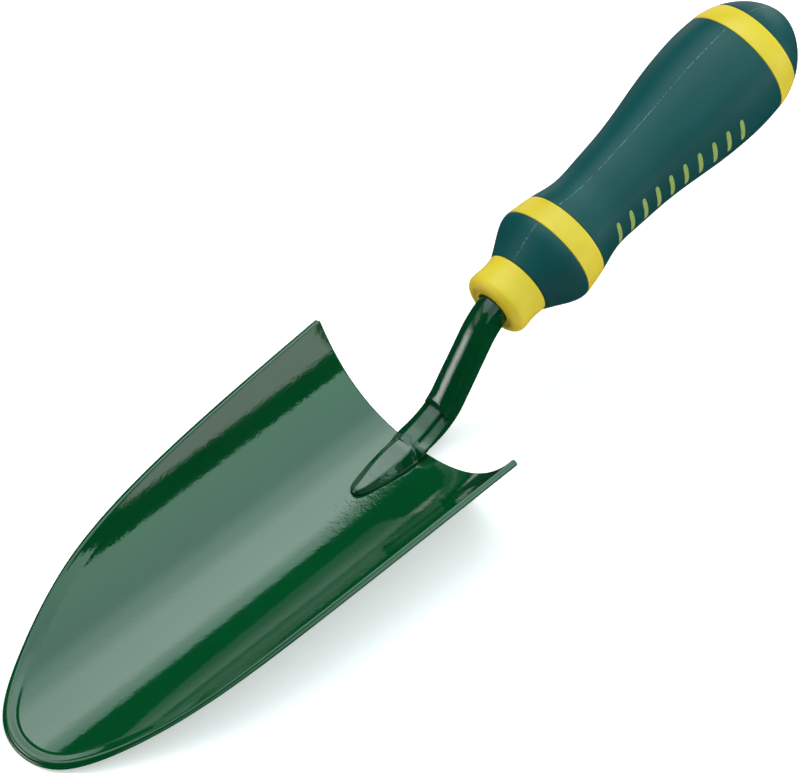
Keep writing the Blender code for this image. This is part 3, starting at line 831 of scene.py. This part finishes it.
SEAM_STEP = 0.25  # between two sections of the flash
SEAM_WAVES = 16  # the line wanders a little, at this many places
SEAM_WAVE = 0.05  # and by about this much
SEAM_PATCH = 5  # steps between two drawn heights
SEAM_HEIGHT = 0.20
SEAM_CONTRAST = 1.7
SEAM_CUT = 0.65  # lower draws, after the contrast, leave a gap in the line
SEAM_LEAST = 0.03  # height left in a gap, as a share of the full one
SEAM_END = 0.01  # height at the two ends
SEAM_HALF_WIDTH = 0.21
SEAM_SECTION = (  # across in half widths and up in heights
    (-1.0, -1.2),
    (-0.8, 0.1),
    (-0.3, 0.9),
    (0.3, 0.9),
    (0.8, 0.1),
    (1.0, -1.2),
)


def make_seam(material, name, start, end, seed):
    """The parting line's thin broken flash, a low ridge along the top of one rubber zone."""
    dice = np.random.default_rng(seed)
    count = int((end - start) / SEAM_STEP)
    patches = count // SEAM_PATCH
    t = np.linspace(start, end, count)
    wave = dice.normal(0.0, SEAM_WAVE, SEAM_WAVES)
    wave = np.interp(t, np.linspace(start, end, SEAM_WAVES), wave)
    size = np.interp(t, np.linspace(start, end, patches), dice.uniform(0.0, 1.0, patches))
    height = SEAM_HEIGHT * np.clip(size * SEAM_CONTRAST - SEAM_CUT, SEAM_LEAST, 1.0)
    height[0] = height[-1] = SEAM_END
    across, up = np.array(SEAM_SECTION).T
    sides = len(SEAM_SECTION)
    rows = []
    for ti, w, h in zip(t, wave, height):
        radius = float(grip_radius(ti))
        turn = math.pi / 2 + (w + SEAM_HALF_WIDTH * across) / radius
        rows.append(handle_place(np.full(sides, ti), radius + h * up, turn))
    last = sides * (count - 1)
    faces = grid_faces(count, sides) + [tuple(range(sides)), tuple(range(last, last + sides))]
    add_piece(name, rows, faces, material)


PRINT_BARS = 10
PRINT_FIRST = 41.5  # middle of the first bar, behind the collar's front
PRINT_PITCH = 5.4
PRINT_HALF_LONG = 4.3
PRINT_HALF_WIDE = 0.80
PRINT_SLANT = math.radians(-6)
PRINT_TURN = math.pi - 0.04  # the bars' middle, a little above the grip's right side
PRINT_SQUARENESS = 0.6  # 1 would make a bar's outline an ellipse
PRINT_LIFT = 0.05  # thickness of the ink on the rubber
PRINT_EDGE_LIFT = 0.012
PRINT_SUNK = 0.08  # the closed underside lies this far inside the rubber
PRINT_RINGS = 10
PRINT_SIDES = 28


def bar_ring(centre, share):
    """Distance, grip radius and turn of the points at this share of a bar's outline."""
    angle = 2 * math.pi * np.arange(PRINT_SIDES) / PRINT_SIDES
    c, s = np.cos(angle), np.sin(angle)
    along = PRINT_HALF_WIDE * np.sign(c) * np.abs(c) ** PRINT_SQUARENESS * share
    across = PRINT_HALF_LONG * np.sign(s) * np.abs(s) ** PRINT_SQUARENESS * share
    t = centre + along + across * math.tan(PRINT_SLANT)
    radius = grip_radius(t)
    return t, radius, PRINT_TURN + across / radius


def make_print(material):
    """Equal slanted bars, a plain pattern in the place of the maker's printing."""
    rings = [(ring / PRINT_RINGS, PRINT_LIFT) for ring in range(PRINT_RINGS)]
    rings += [(1.0, PRINT_EDGE_LIFT), (1.0, -PRINT_SUNK), (0.0, -PRINT_SUNK)]
    faces = grid_faces(len(rings), PRINT_SIDES)
    for k in range(PRINT_BARS):
        rows = []
        for share, lift in rings:
            t, radius, turn = bar_ring(PRINT_FIRST + PRINT_PITCH * k, share)
            rows.append(handle_place(t, radius + lift, turn))
        add_piece(f"print_bar_{k + 1}", rows, faces, material)


# ------------------------------------------------------------------ studio

CAMERA_TARGET = Vector((0.0004, 0.0080, 0.0200))
CAMERA_DISTANCE = 1.1521
CAMERA_AZIMUTH = -135.47  # degrees from +X towards +Y, seen from the target
CAMERA_ELEVATION = 47.76
CAMERA_ROLL = -0.50
CAMERA_LENS = 180


def direction(azimuth, elevation):
    """Unit vector from the object towards a place in the studio; angles in degrees."""
    a, e = math.radians(azimuth), math.radians(elevation)
    return Vector((math.cos(a) * math.cos(e), math.sin(a) * math.cos(e), math.sin(e)))


def make_camera():
    """The photo's camera, looking down on the tool from its front right."""
    data = bpy.data.cameras.new("camera")
    data.lens = CAMERA_LENS
    camera = bpy.data.objects.new("camera", data)
    bpy.context.scene.collection.objects.link(camera)
    away = direction(CAMERA_AZIMUTH, CAMERA_ELEVATION)
    turn = away.to_track_quat("Z", "Y").to_matrix().to_4x4()
    camera.matrix_world = (
        Matrix.Translation(CAMERA_TARGET + away * CAMERA_DISTANCE)
        @ turn
        @ Matrix.Rotation(math.radians(CAMERA_ROLL), 4, "Z")
    )
    bpy.context.scene.camera = camera


class Glow(Surface):
    """An emission painted over a sheet of light."""

    def __init__(self, name):
        super().__init__(name)
        emission = self.node("ShaderNodeEmission")
        self.tree.nodes.remove(self.shader)
        self.shader = emission
        output = self.tree.nodes["Material Output"]
        self.tree.links.new(emission.outputs[0], output.inputs["Surface"])
        self.x, self.y, self.z = self.node("ShaderNodeSeparateXYZ", Vector=self.place).outputs

    def ramp(self, value, stops):
        """Colours between the stops, which are (value, colour) in rising order."""
        low, high = stops[0][0], stops[-1][0]
        made = self.node("ShaderNodeValToRGB", Fac=self.spread(value, low, high))
        made.color_ramp.interpolation = "EASE"
        elements = made.color_ramp.elements
        while len(elements) < len(stops):
            elements.new(0.5)
        for element, (at, colour) in zip(elements, stops):
            element.position = (at - low) / (high - low)
            element.color = (*colour, 1.0)
        return made.outputs[0]


def sheet_of_light(name, points, faces, glow):
    """A staged, camera-invisible mesh that carries a painted emission."""
    mesh = bpy.data.meshes.new(name)
    mesh.from_pydata(points, [], faces)
    mesh.materials.append(glow.material)
    sheet = bpy.data.objects.new(name, mesh)
    bpy.context.scene.collection.objects.link(sheet)
    sheet.visible_camera = False
    sheet.visible_shadow = False
    return sheet


# The tent's light against the angle round the X axis, from the left horizon over the top.
TENT_RADIUS = 1.4
TENT_COLOURS = (
    (41.5, (0.26, 0.38, 0.38)),
    (47.0, (0.41, 0.53, 0.50)),
    (56.0, (0.79, 0.92, 0.91)),
    (74.0, (0.78, 0.92, 0.90)),
    (89.0, (0.52, 0.65, 0.66)),
    (105.0, (0.34, 0.46, 0.48)),
    (146.0, (0.35, 0.56, 0.48)),
)
TENT_RADIANCE = 4.6
TENT_CORNER_X = (0.66, 0.73)  # the tent's lower left edge climbs here
TENT_CORNER_ANGLE = (36.0, 61.0)  # and between these angles
TENT_CORNER_SOFTNESS = 5.0
TENT_SPAN = (-0.82, 1.22)  # the tent's ends along X
TENT_FADE = ((-0.82, 0.34), (-0.44, 0.45), (0.0, 0.66), (0.6, 1.0), (1.22, 1.0))  # x, strength
TENT_STEPS = 40
TENT_COLUMNS = 9


def make_tent():
    """A curved diffuser over the tool, brightest to the left of its top."""
    glow = Glow("tent_glow")
    angle = glow.math("ARCTAN2", glow.z, glow.y)
    degrees = glow.math("MULTIPLY", angle, 180 / math.pi)
    colour = glow.ramp(degrees, TENT_COLOURS)
    fade = glow.ramp(glow.x, [(x, (grey, grey, grey)) for x, grey in TENT_FADE])
    past = glow.math("SUBTRACT", degrees, glow.spread(glow.x, *TENT_CORNER_X, *TENT_CORNER_ANGLE))
    fade = glow.math("MULTIPLY", fade, glow.spread(past, -TENT_CORNER_SOFTNESS, TENT_CORNER_SOFTNESS))
    glow.set(Color=colour, Strength=glow.math("MULTIPLY", fade, TENT_RADIANCE))
    start, end = math.radians(TENT_COLOURS[0][0]), math.radians(TENT_COLOURS[-1][0])
    points = []
    for turn in np.linspace(start, end, TENT_STEPS + 1).tolist():
        y, z = TENT_RADIUS * math.cos(turn), TENT_RADIUS * math.sin(turn)
        points += [(x, y, z) for x in np.linspace(*TENT_SPAN, TENT_COLUMNS).tolist()]
    faces = grid_faces(TENT_STEPS + 1, TENT_COLUMNS, round_columns=False)
    sheet_of_light("tent", points, faces, glow)


WHITE = (1.0, 1.0, 1.0)
SOFTBOX_AIM = Vector((0.0, 0.0, 0.03))
SOFTBOXES = (  # name, azimuth, elevation, distance, size, radiance, colour, share that fades
    ("front_softbox", 151, 13, 1.4, (1.10, 0.95), 7.0, WHITE, 1.0),
    ("front_glow", 140, 40, 1.4, (1.0, 0.5), 0.9, WHITE, 0.6),
    ("right_softbox", -52, 6, 1.4, (1.70, 0.50), 2.0, (0.95, 0.98, 1.0), 0.1),
    ("rear_softbox", 14, 8, 1.6, (1.0, 0.6), 2.4, WHITE, 0.5),
    ("rear_glow", 42, -7, 1.7, (1.7, 0.75), 0.9, WHITE, 0.2),
)


def make_softbox(name, azimuth, elevation, distance, size, radiance, colour, edge):
    """A flat diffuser facing the tool, fading over its edge share towards the frame."""
    glow = Glow(name + "_glow")
    strength = radiance
    for value, length in ((glow.x, size[0]), (glow.y, size[1])):
        inside = glow.math("SUBTRACT", length / 2, glow.math("ABSOLUTE", value, 0.0))
        faded = glow.spread(inside, 0.0, edge * length / 2)
        strength = glow.math("MULTIPLY", faded, strength)
    glow.set(Color=(*colour, 1.0), Strength=strength)
    x, y = size[0] / 2, size[1] / 2
    corners = [(-x, -y, 0), (x, -y, 0), (x, y, 0), (-x, y, 0)]
    sheet = sheet_of_light(name, corners, [(0, 1, 2, 3)], glow)
    away = direction(azimuth, elevation)
    sheet.matrix_world = (
        Matrix.Translation(SOFTBOX_AIM + away * distance)
        @ away.to_track_quat("Z", "Y").to_matrix().to_4x4()
    )


FLOOR_REACH = 6.0
FLOOR_COLOUR = (0.95, 0.84, 0.85, 1.0)
FLOOR_FAR = (0.5, 2.5)  # between these distances the floor brightens to the backdrop's white
FLOOR_GLOW = 0.42  # the floor is a faintly lit table, so that shadows stay soft
FILL_LIGHT = 0.12  # soft light from everywhere, seen by matt surfaces only
DARK_STUDIO = 0.012  # strength of the bluish dark that the gloss reflects past the lights
DARK_COLOUR = (0.9, 0.95, 1.0, 1.0)


def make_world():
    """White behind the object, nearly black in reflections, a faint fill for matt surfaces."""
    world = bpy.data.worlds.new("studio")
    bpy.context.scene.world = world
    world.use_nodes = True
    tree = world.node_tree
    ray = tree.nodes.new("ShaderNodeLightPath")
    last = tree.nodes["Background"]
    last.inputs["Color"].default_value = DARK_COLOUR
    last.inputs["Strength"].default_value = DARK_STUDIO
    for seen_by, strength in (("Is Diffuse Ray", FILL_LIGHT), ("Is Camera Ray", 1.0)):
        light = tree.nodes.new("ShaderNodeBackground")
        light.inputs["Color"].default_value = (*WHITE, 1.0)
        light.inputs["Strength"].default_value = strength
        choose = tree.nodes.new("ShaderNodeMixShader")
        tree.links.new(ray.outputs[seen_by], choose.inputs[0])
        tree.links.new(last.outputs[0], choose.inputs[1])
        tree.links.new(light.outputs[0], choose.inputs[2])
        last = choose
    tree.links.new(last.outputs[0], tree.nodes["World Output"].inputs["Surface"])


def make_floor():
    """Pale matt paper that turns into plain white far from the tool."""
    paper = Surface("floor_paper")
    paper.set(Base_Color=FLOOR_COLOUR, Roughness=0.9, Specular_IOR_Level=0.0)
    reach = paper.node("ShaderNodeVectorMath")
    reach.operation = "LENGTH"
    paper.put(reach, 0, paper.place)
    glow = paper.spread(reach.outputs["Value"], *FLOOR_FAR, FLOOR_GLOW, 1.0)
    paper.set(Emission_Color=(*WHITE, 1.0), Emission_Strength=glow)
    mesh = bpy.data.meshes.new("floor")
    r = FLOOR_REACH
    mesh.from_pydata([(-r, -r, 0), (r, -r, 0), (r, r, 0), (-r, r, 0)], [], [(0, 1, 2, 3)])
    mesh.materials.append(paper.material)
    floor = bpy.data.objects.new("floor", mesh)
    bpy.context.scene.collection.objects.link(floor)
    floor.visible_glossy = False


def make_studio():
    """Plain colours, a white backdrop, the floor, the tent and its softboxes."""
    settings = bpy.context.scene.view_settings
    settings.view_transform = "Standard"
    settings.look = "None"
    make_world()
    make_floor()
    make_tent()
    for softbox in SOFTBOXES:
        make_softbox(*softbox)


# ------------------------------------------------------------------ assembly

deep_green = green_coat("green_epoxy_coat", *SHEET_GREENS)
forged_green = green_coat("green_epoxy_on_forging", *FORGING_GREENS, FORGING_DENTS)
yellow = yellow_plastic()
rubber = grip_rubber()
flash = thin_rubber()
ink = pad_print()

make_blade(deep_green)
make_tang(forged_green)
make_weld(forged_green)
make_core(yellow)
make_sleeves(rubber)
make_seam(flash, "seam_nose", COLLAR_LENGTH + 0.7, FRONT_RING[0] - 0.5, 3)
make_seam(flash, "seam_grip", FRONT_RING[1] + 0.5, REAR_RING[0] - 0.5, 5)
make_seam(flash, "seam_cap", REAR_RING[1] + 0.5, HANDLE_LENGTH - 1.5, 7)
make_print(ink)
make_camera()
make_studio()
